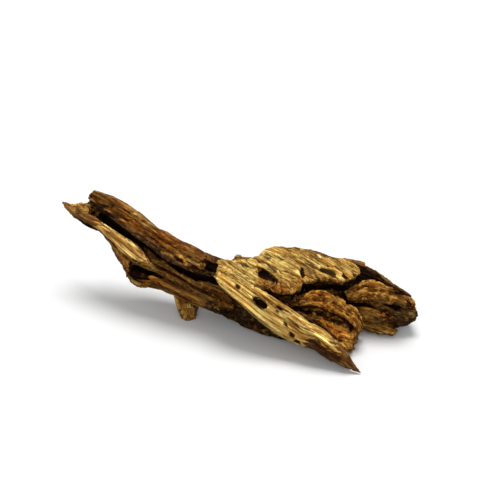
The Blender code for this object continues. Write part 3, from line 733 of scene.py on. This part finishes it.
def add_fibres(bm, stations, count, size, start_reach, end_reach, chance):
    """Thin strands laid in the surface of a stave, with uneven ends."""
    rings = with_frames(sampled(stations))
    length = sum((b[0] - a[0]).length for a, b in zip(rings, rings[1:]))
    pitch = length / (len(rings) - 1)
    for k in range(count):
        u, v = rounded_box(2 * math.pi * (k + chance.uniform(*FIBRE_STRAY)) / count)
        start = chance.uniform(*start_reach)
        end = chance.uniform(*end_reach)
        first = max(0, round(-start / pitch))
        last = len(rings) - 1 - max(0, round(-end / pitch))
        if last - first < LEAST_RINGS:
            continue
        half = size * chance.uniform(*FIBRE_SIZES)
        inset = chance.uniform(*FIBRE_INSET)
        path = []
        for middle, broad, flat, wide, thick, roll in rings[first : last + 1 : 2]:
            spot = middle + broad * (wide * u * inset) + flat * (thick * v * inset)
            path.append([*spot, half, half * FIBRE_FLATNESS, roll + math.degrees(math.atan2(u, -v))])
        if len(path) < LEAST_RINGS:
            continue
        for tip, inner, reach in ((0, 1, start), (-1, -2, end)):
            away = (Vector(path[tip][:3]) - Vector(path[inner][:3])).normalized()
            spot = Vector(path[tip][:3]) + away * max(reach, 0)
            path[tip][:5] = [*spot, *(half * share for share in FIBRE_TIP)]
        add_stave(bm, [tuple(p) for p in path], FIBRE_SIDES)


def squeezed(obj, factor):
    """Scales the mesh along the grain, so that a remesh is coarser there once it is scaled back."""
    for vert in obj.data.vertices:
        vert.co.x *= factor


def shells_object(name, staves):
    """One object with the closed shells of the staves and of the fibres they have."""
    bm = bmesh.new()
    for stave, stations in staves.items():
        add_stave(bm, stations)
        for fibres, seed in ((FIBRES, stave), (FINE_FIBRES, "fine " + stave)):
            if stave in fibres:
                add_fibres(bm, stations, *fibres[stave], random.Random(seed))
    bmesh.ops.recalc_face_normals(bm, faces=bm.faces)
    mesh = bpy.data.meshes.new(name)
    bm.to_mesh(mesh)
    bm.free()
    obj = bpy.data.objects.new(name, mesh)
    bpy.context.scene.collection.objects.link(obj)
    return obj


def apply_modifiers(obj):
    """Replaces the object's mesh by what its modifiers make of it."""
    graph = bpy.context.evaluated_depsgraph_get()
    made = bpy.data.meshes.new_from_object(obj.evaluated_get(graph))
    obj.modifiers.clear()
    obj.data = made


def grow_together(obj, voxel):
    remesh = obj.modifiers.new("one_skin", "REMESH")
    remesh.mode = "VOXEL"
    remesh.voxel_size = voxel * MM
    apply_modifiers(obj)


def hollow_out(obj, cutter):
    cut = obj.modifiers.new("hollows", "BOOLEAN")
    cut.operation = "DIFFERENCE"
    cut.object = cutter
    cut.solver = "MANIFOLD"
    apply_modifiers(obj)


def take_in(obj, other):
    """Adds the other object's shells to this one's mesh."""
    bm = bmesh.new()
    bm.from_mesh(obj.data)
    bm.from_mesh(other.data)
    bm.to_mesh(obj.data)
    bm.free()
    bpy.data.objects.remove(other)


def drop_crumbs(obj):
    """Removes the tiny loose bits that the hollows leave behind."""
    bm = bmesh.new()
    bm.from_mesh(obj.data)
    crumbs = []
    for start in bm.verts:
        if start.tag:
            continue
        start.tag = True
        shell = [start]
        for vert in shell:
            for edge in vert.link_edges:
                other = edge.other_vert(vert)
                if not other.tag:
                    other.tag = True
                    shell.append(other)
        if len(shell) < LEAST_SHELL:
            crumbs += shell
    bmesh.ops.delete(bm, geom=crumbs, context="VERTS")
    bm.to_mesh(obj.data)
    bm.free()


def grown_shard():
    """The whole shard as one fine skin, in the drafting frame."""
    wood = shells_object("shard", STAVES)
    inner = shells_object("inner", INNER_STAVES)
    hollows = shells_object("hollows", HOLLOWS)
    for obj in (wood, inner, hollows):
        squeezed(obj, 1 / GRAIN_STRETCH)
        grow_together(obj, FINE_VOXEL)
    hollow_out(wood, hollows)
    bpy.data.objects.remove(hollows)
    take_in(wood, inner)
    grow_together(wood, FINE_VOXEL)
    drop_crumbs(wood)
    squeezed(wood, GRAIN_STRETCH)
    take_in(wood, shells_object("slivers", SLIVERS))
    return wood


class Strand:
    """A stave's middle line with its frames, for finding what lies near it."""

    def __init__(self, name, stations):
        self.name = name
        columns = [np.array(column) for column in zip(*with_frames(sampled(stations)))]
        self.middle, self.broad, self.flat, self.wide, self.thick, _ = columns
        self.ahead = np.gradient(self.middle, axis=0)
        self.ahead /= np.linalg.norm(self.ahead, axis=1)[:, None]
        self.drop = self.middle[:, 1:] - self.middle[len(self.middle) // 2, 1:]
        if name in GRAIN_OF:
            self.drop = self.middle[:, :1] * np.array([GRAIN_OF[name]])
        self.fall = np.gradient(self.drop, axis=0)

    def near(self, points):
        """For each point: its nearest ring, the grain's drop there, its distance from the stave, and u."""
        gap = ((points[:, None, :] - self.middle[None, :, :]) ** 2).sum(axis=2)
        ring = gap.argmin(axis=1)
        away = points - self.middle[ring]
        u = (away * self.broad[ring]).sum(axis=1)
        v = (away * self.flat[ring]).sum(axis=1)
        along = (away * self.ahead[ring]).sum(axis=1)
        drop = self.drop[ring] + self.fall[ring] * (along / RING_PITCH)[:, None]
        beyond_u = np.maximum(np.abs(u) - self.wide[ring], 0)
        beyond_v = np.maximum(np.abs(v) - self.thick[ring], 0)
        beyond_end = np.maximum(np.abs(along) - RING_PITCH, 0)
        distance = np.sqrt(beyond_u**2 + beyond_v**2 + beyond_end**2)
        return ring, drop, distance, u / self.wide[ring]


def mark_depth(strand, points, ring, distance, u):
    """How deep the stave's marks cut at each point."""
    depth = np.zeros(len(points))
    outer = np.clip(1 - distance / MARK_REACH, 0, 1)
    sway, pace = MARK_WANDER
    for start, end, across_start, across_end, wide, deep in MARKS.get(strand.name, ()):
        along = np.minimum(points[:, 0] - start, end - points[:, 0]) / MARK_FADE
        share = (points[:, 0] - start) / (end - start)
        across = across_start + (across_end - across_start) * share
        wander = sway * np.sin(pace * points[:, 0] + MARK_PHASE * across_start + start)
        off = ((u - across) * strand.wide[ring] + wander) / wide
        depth = np.maximum(depth, deep * np.exp(-(off**2)) * np.clip(along, 0, 1) * outer)
    return depth


def grain_noise(place, width, length, shift=0.0):
    """Noise that is drawn out along the grain."""
    x, y, z = place
    return noise.noise(Vector((x / length + shift, y / width, z / width)))


def between_soft(value, low, high, soft):
    """1 from low to high, fading out over a soft distance on either side."""
    return np.clip(np.minimum(value - low, high - value) / soft + 1, 0, 1)


def zoned(name, plain, x, u, stray):
    """Tone, resin and crumbliness of a stave at each point, its zones included, with ragged bounds."""
    look = np.tile(plain, (len(x), 1))
    x = x + ZONE_STRAY[0] * stray
    u = u + ZONE_STRAY[1] * stray
    soft_x, soft_u = ZONE_SOFTNESS
    for start, end, low, high, tone, resin, crumb in ZONES.get(name, ()):
        share = between_soft(x, start, end, soft_x) * between_soft(u, low, high, soft_u)
        look += share[:, None] * (np.array((*tone, resin, crumb)) - look)
    return look


def read_wood(points, normals):
    """Grain coordinates, tone, resin, crumbliness and marks at each point, from the staves it is near."""
    count = len(points)
    stray = np.array([grain_noise(point, *STRAY_SIZE) for point in points])
    total = np.zeros(count)
    drop = np.zeros((count, 2))
    look = np.zeros((count, 5))
    calm = np.zeros(count)
    marks = np.zeros(count)
    for name, stations in {**STAVES, **INNER_STAVES, **SLIVERS}.items():
        strand = Strand(name, stations)
        plain = (*WOOD_OF[name][0], *WOOD_OF[name][1:])
        for first in range(0, count, BATCH):
            part = slice(first, first + BATCH)
            ring, fall, distance, u = strand.near(points[part])
            weight = 1 / (distance + NEARNESS) ** 4 / (1 + strand.thick[ring])
            total[part] += weight
            drop[part] += weight[:, None] * fall
            look[part] += weight[:, None] * zoned(name, plain, points[part, 0], u, stray[part])
            calm[part] += weight * CALM.get(name, 0.0)
            up_front = np.clip((normals[part] @ MARKED_SIDE) * MARK_SHARPNESS, 0, 1)
            cut = mark_depth(strand, points[part], ring, distance, u) * up_front
            marks[part] = np.maximum(marks[part], cut)
    drop /= total[:, None]
    grain = np.column_stack((points[:, 0], points[:, 1:] - drop))
    look /= total[:, None]
    return grain, look[:, :3], look[:, 3], look[:, 4], marks, calm / total


def ridged(grain, width, length, shift):
    """Noise that runs along the grain: 0 on its crests, 1 in its creases."""
    return 1 - min(abs(grain_noise(grain, width, length, shift)) * GROOVE_SHARE, 1)


def as_on_solid(point, grain):
    """The ridges, lumps and crumbs that the solid has too."""
    x, y, z = point
    fall = z + GRAIN_DROP * x
    ridge = grain_noise(grain, RIDGE_WIDTH, RIDGE_LENGTH)
    lump = noise.noise(Vector((x / LUMP_STRETCH, y, fall)) / LUMP_SIZE + LUMP_OFFSET)
    inside = crumbly(x, y, z)
    crumb = noise.noise(Vector((x, y, z)) / CRUMB_SIZE)
    ridges = RIDGE_DEPTH * (RIDGE_RAISE - 2 * abs(ridge)) * (1 - inside)
    return ridges + LUMP_DEPTH * lump + CRUMB_DEPTH * crumb * inside


def ramp(value, start, wide):
    """0 up to the start, and 1 from a width past it."""
    return min(max((value - start) / wide, 0), 1)


def crumbly(x, y, z):
    """1 on the rough wood inside the shell and at its right end, 0 on the weathered outside."""
    top, soft = ROT_Z
    return ramp(x, *ROT_X) * ramp(y, *ROT_Y) * ramp(top - ROT_FALL * x, z, soft)


def ledged(grain, width, length, shift):
    """Noise in flat steps whose edges run along the grain, like layers broken off."""
    value = LEDGE_STEPS * grain_noise(grain, width, length, shift)
    step = math.floor(value)
    start, wide = LEDGE_EDGE
    rise = ramp(value - step, start, wide)
    return step + rise * rise * (3 - 2 * rise)


def chipped(grain):
    """Heights of flat chips of wood, each one its own step."""
    width, length, depth = CHIPS
    x, y, z = grain
    middle = noise.voronoi(Vector((x / length, y / width, z / width)))[1][0]
    return depth * noise.noise(middle * CHIP_SPREAD)


def fine_relief(point, grain, crumb):
    """Height over the skin of the grooves, ledges, grit, lumps and chips at a point."""
    width, length, depth, shift = LEDGES
    height = depth * ledged(grain, width, length, shift)
    for width, length, depth, power, shift in GROOVES:
        height -= depth * ridged(grain, width, length, shift) ** power
    height *= 1 - CRUMB_SMOOTHING * crumb
    if crumb < LEAST_CRUMB:
        return height
    for size, depth in (GRIT, LUMPS):
        height += depth * noise.noise(Vector(point) / size) * crumb
    return height + chipped(grain) * crumb


def vectors(items, slot):
    """A vector of each item, one in a row."""
    values = np.empty(len(items) * 3)
    items.foreach_get(slot, values)
    return values.reshape(-1, 3)


def weather(obj):
    """Moves the skin in and out, and gives each point's grain, tone, resin, crumbliness, marks and how far
    it faces up, for the painted shade on down-turned sides."""
    mesh = obj.data
    places = vectors(mesh.vertices, "co") / MM
    normals = vectors(mesh.vertex_normals, "vector")
    grain, tone, resin, crumb, marks, calm = read_wood(places, normals)
    heights = np.empty(len(places))
    for i in range(len(places)):
        height = as_on_solid(places[i], grain[i]) + fine_relief(places[i], grain[i], crumb[i])
        heights[i] = height * (1 - calm[i]) - marks[i]
    places += normals * heights[:, None]
    mesh.vertices.foreach_set("co", (places * MM).ravel())
    mesh.update()
    return grain, tone, resin, crumb, marks, normals[:, 2].copy()


def stand_on_floor(obj):
    """Sets what would lie under the floor on it."""
    for vert in obj.data.vertices:
        vert.co.z = max(vert.co.z, 0.0)


def ray_fan():
    """Directions over a half sphere round +Z, more of them near the middle."""
    fan = []
    for k in range(RAYS):
        lift = math.sqrt((k + 0.5) / RAYS)
        turn = k * GOLDEN_ANGLE
        fan.append(Vector((lift * math.cos(turn), lift * math.sin(turn), math.sqrt(1 - lift * lift))))
    return fan


def hollowness(obj):
    """How shut in each point is: close by, as in a crease, and far off, as in the cavity; the material
    paints shade from both.
    """
    mesh = obj.data
    tree = BVHTree.FromPolygons([v.co for v in mesh.vertices], [tuple(p.vertices) for p in mesh.polygons])
    fan = ray_fan()
    near = np.zeros(len(mesh.vertices))
    far = np.zeros(len(mesh.vertices))
    for i, vert in enumerate(mesh.vertices):
        turn = Vector((0, 0, 1)).rotation_difference(vert.normal)
        start = vert.co + vert.normal * (RAY_START * MM)
        for ray in fan:
            distance = tree.ray_cast(start, turn @ ray, FAR_REACH * MM)[3]
            if distance is not None:
                far[i] += 1
                near[i] += math.exp(-distance / (NEAR_REACH * MM))
    return near / RAYS, far / RAYS


def sharpness(obj):
    """How far each point stands out over its surroundings, positive on a ridge."""
    mesh = obj.data
    ends = np.empty(len(mesh.edges) * 2, dtype=np.int64)
    mesh.edges.foreach_get("vertices", ends)
    ends = ends.reshape(-1, 2)
    places = vectors(mesh.vertices, "co")
    normals = vectors(mesh.vertex_normals, "vector")
    smoothed = places
    links = np.bincount(ends.ravel(), minlength=len(places))[:, None]
    for _ in range(EDGE_ROUNDS):
        around = np.zeros_like(smoothed)
        np.add.at(around, ends[:, 0], smoothed[ends[:, 1]])
        np.add.at(around, ends[:, 1], smoothed[ends[:, 0]])
        smoothed = around / links
    return ((places - smoothed) * normals).sum(axis=1) / MM


def keep(mesh, name, values):
    """Stores one number or one vector for each point of the mesh."""
    kind = "FLOAT" if values.ndim == 1 else "FLOAT_VECTOR"
    slot = "value" if values.ndim == 1 else "vector"
    layer = mesh.attributes.new(name, kind, "POINT")
    layer.data.foreach_set(slot, values.astype(np.float32).ravel())


class Nodes:
    """Short ways to add and join shader nodes."""

    def __init__(self, material):
        self.tree = material.node_tree

    def add(self, kind, **settings):
        node = self.tree.nodes.new(kind)
        for name, value in settings.items():
            setattr(node, name, value)
        return node

    def plug(self, value, socket):
        """Joins an output to a socket, or sets the socket to a plain value."""
        if isinstance(value, bpy.types.NodeSocket):
            self.tree.links.new(value, socket)
        else:
            socket.default_value = value

    def attribute(self, name, output="Fac"):
        return self.add("ShaderNodeAttribute", attribute_name=name).outputs[output]

    def pattern(self, grain, along, across, detail, rough, twist):
        """Noise over the grain coordinates, scaled along and across the grain."""
        scaled = self.add("ShaderNodeVectorMath", operation="MULTIPLY")
        self.plug(grain, scaled.inputs[0])
        scaled.inputs[1].default_value = (along, across, across)
        node = self.add("ShaderNodeTexNoise")
        self.plug(scaled.outputs[0], node.inputs["Vector"])
        node.inputs["Scale"].default_value = 1.0
        node.inputs["Detail"].default_value = detail
        node.inputs["Roughness"].default_value = rough
        node.inputs["Distortion"].default_value = twist
        return node.outputs["Fac"]

    def span(self, value, low, high, to_low, to_high):
        """Maps low..high to to_low..to_high, smoothly and clamped."""
        node = self.add("ShaderNodeMapRange", interpolation_type="SMOOTHSTEP")
        self.plug(value, node.inputs["Value"])
        self.plug(low, node.inputs["From Min"])
        self.plug(high, node.inputs["From Max"])
        self.plug(to_low, node.inputs["To Min"])
        self.plug(to_high, node.inputs["To Max"])
        return node.outputs["Result"]

    def math(self, operation, a, b=0.0):
        node = self.add("ShaderNodeMath", operation=operation)
        self.plug(a, node.inputs[0])
        self.plug(b, node.inputs[1])
        return node.outputs[0]

    def warmed(self, value):
        """The value as a colour that is redder where it is dark and yellower where it is light."""
        colour = self.add("ShaderNodeCombineColor")
        for socket, power in zip(colour.inputs, WARMING):
            self.plug(self.math("POWER", value, power), socket)
        return colour.outputs[0]

    def mix(self, share, a, b, blend="MIX"):
        node = self.add("ShaderNodeMix", data_type="RGBA", blend_type=blend)
        self.plug(share, node.inputs["Factor"])
        self.plug(a, node.inputs["A"])
        self.plug(b, node.inputs["B"])
        return node.outputs["Result"]


def streaky_shade(nodes, patterns):
    """How light the wood is along its grain: bands, fibres, threads and thin dark lines."""
    shade = 1.0
    for name, low, high, least, most in SHADES:
        shade = nodes.math("MULTIPLY", shade, nodes.span(patterns[name], low, high, least, most))
    for name, on_line, off_line in LINES:
        gap = nodes.math("ABSOLUTE", nodes.math("SUBTRACT", patterns[name], 0.5))
        shade = nodes.math("MULTIPLY", shade, nodes.span(gap, 0.0, LINE_WIDTH, on_line, off_line))
    return shade


def resin_streaks(nodes, streaks):
    """Where the streaks are resin: in more of them where the wood holds more of it."""
    start, sooner, further, most, _ = RESIN
    edge = nodes.math("SUBTRACT", start, nodes.math("MULTIPLY", nodes.attribute("resin"), sooner))
    return nodes.span(streaks, edge, nodes.math("ADD", edge, further), 0.0, most)


def wood_colour(nodes, patterns, crumb):
    """The tone of the wood with its streaks, gold crumbs, resin and dark marks, ridges lightened as wear
    and painted highlight, and painted shade on down-turned sides, in creases and in hollows.
    """
    shade = nodes.warmed(streaky_shade(nodes, patterns))
    colour = nodes.mix(1.0, nodes.attribute("tone", "Vector"), shade, "MULTIPLY")
    low, high, most, gold = GOLD
    share = nodes.math("MULTIPLY", nodes.span(patterns["crumbs"], low, high, 0.0, most), crumb)
    colour = nodes.mix(share, colour, gold)
    low, high, most, tint = WARM
    colour = nodes.mix(nodes.span(patterns["blotches"], low, high, 0.0, most), colour, tint, "MULTIPLY")
    colour = nodes.mix(resin_streaks(nodes, patterns["streaks"]), colour, RESIN[-1])
    low, high, most, dark = FLECK
    colour = nodes.mix(nodes.span(patterns["flecks"], low, high, 0.0, most), colour, dark)
    # Lighter ridges, part wear and part painted highlight, and painted shade on down-turned sides
    for name, low, high, least, most in WEAR_AND_PAINTED_LIGHT:
        light = nodes.span(nodes.attribute(name), low, high, least, most)
        colour = nodes.mix(1.0, colour, light, "MULTIPLY")
    # Dark marks, partly painted shade, and painted shade in creases and hollows
    for name, low, high, most, dark, blend in MARKS_AND_PAINTED_SHADE:
        share = nodes.span(nodes.attribute(name), low, high, 0.0, most)
        colour = nodes.mix(share, colour, dark, blend)
    return colour


def wood_material():
    """Streaked resinous wood that reads the grain, tone, resin, hollows and edges of the mesh, with
    painted shade in the hollows and on down-turned sides and painted highlight on the edges.
    """
    wood = bpy.data.materials.new("agarwood")
    wood.use_nodes = True
    nodes = Nodes(wood)
    shader = wood.node_tree.nodes["Principled BSDF"]
    grain = nodes.attribute("grain", "Vector")
    crumb = nodes.attribute("crumb")
    patterns = {name: nodes.pattern(grain, *settings) for name, settings in PATTERNS.items()}
    nodes.plug(wood_colour(nodes, patterns, crumb), shader.inputs["Base Color"])

    rough = nodes.span(patterns["streaks"], *ROUGHNESS)
    nodes.plug(rough, shader.inputs["Roughness"])
    shader.inputs["Specular IOR Level"].default_value = WOOD_SPECULAR

    threads = nodes.math("MULTIPLY", patterns["threads"], THREAD_RELIEF)
    grit = nodes.math("MULTIPLY", nodes.math("MULTIPLY", patterns["flecks"], crumb), GRIT_RELIEF)
    relief = nodes.math("ADD", nodes.math("ADD", patterns["fibres"], threads), grit)
    bump = nodes.add("ShaderNodeBump")
    bump.inputs["Strength"].default_value = BUMP_STRENGTH
    bump.inputs["Distance"].default_value = BUMP_HEIGHT * MM
    nodes.plug(relief, bump.inputs["Height"])
    nodes.plug(bump.outputs["Normal"], shader.inputs["Normal"])
    return wood


def make_shard():
    """The finished shard, in the row frame."""
    shard = grown_shard()
    grain, tone, resin, crumb, marks, facing = weather(shard)
    stand_on_floor(shard)
    # How shut in and how sharp each point is, for the painted shade and highlight
    near, far = hollowness(shard)
    edge = sharpness(shard)
    mesh = shard.data
    wood = {"grain": grain, "tone": tone, "resin": resin, "crumb": crumb, "marks": marks}
    form = {"near": near, "far": far, "edge": edge, "facing": facing}
    for name, values in {**wood, **form}.items():
        keep(mesh, name, values)
    for vert in mesh.vertices:
        vert.co += DRAFT_SHIFT * MM
    mesh.shade_smooth()
    shard.name = "shard_surface"
    mesh.materials.clear()
    mesh.materials.append(wood_material())
    return shard


def make_floor():
    mesh = bpy.data.meshes.new("floor")
    far = FLOOR_HALF
    mesh.from_pydata([(-far, -far, 0), (far, -far, 0), (far, far, 0), (-far, far, 0)], [], [(0, 1, 2, 3)])
    floor = bpy.data.objects.new("floor", mesh)
    bpy.context.scene.collection.objects.link(floor)
    paper = bpy.data.materials.new("floor_paper")
    paper.use_nodes = True
    shader = paper.node_tree.nodes["Principled BSDF"]
    shader.inputs["Base Color"].default_value = FLOOR_COLOUR
    shader.inputs["Roughness"].default_value = FLOOR_ROUGHNESS
    shader.inputs["Specular IOR Level"].default_value = FLOOR_SPECULAR
    mesh.materials.append(paper)


def add_softbox(name, place, size, power):
    light = bpy.data.lights.new(name, "AREA")
    light.shape = "DISK"
    light.size = size
    light.energy = power
    obj = bpy.data.objects.new(name, light)
    obj.location = place
    obj.rotation_euler = (Vector(LIGHT_AIM) - Vector(place)).to_track_quat("-Z", "Y").to_euler()
    bpy.context.scene.collection.objects.link(obj)


def light_studio():
    world = bpy.data.worlds.new("studio")
    world.use_nodes = True
    background = world.node_tree.nodes["Background"]
    background.inputs["Color"].default_value = SKY_COLOUR
    background.inputs["Strength"].default_value = SKY_STRENGTH
    bpy.context.scene.world = world
    for name, (place, size, power) in SOFTBOXES.items():
        add_softbox(name, place, size, power)


def place_camera():
    azimuth, elevation = math.radians(AZIMUTH), math.radians(ELEVATION)
    level = math.cos(elevation)
    back = Vector((math.sin(azimuth) * level, -math.cos(azimuth) * level, math.sin(elevation)))
    camera = bpy.data.objects.new("camera", bpy.data.cameras.new("camera"))
    camera.data.lens = CAMERA_LENS
    camera.data.sensor_width = CAMERA_SENSOR
    camera.data.clip_start = CAMERA_CLIP
    camera.location = Vector(CAMERA_AIM) + back * CAMERA_DISTANCE
    camera.rotation_euler = (-back).to_track_quat("-Z", "Y").to_euler()
    bpy.context.scene.collection.objects.link(camera)
    bpy.context.scene.camera = camera


def main():
    place_camera()
    shard = make_shard()
    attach(shard, "root")
    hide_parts("agarwood_piece")
    make_floor()
    light_studio()
    bpy.context.scene.view_settings.view_transform = "Standard"


main()
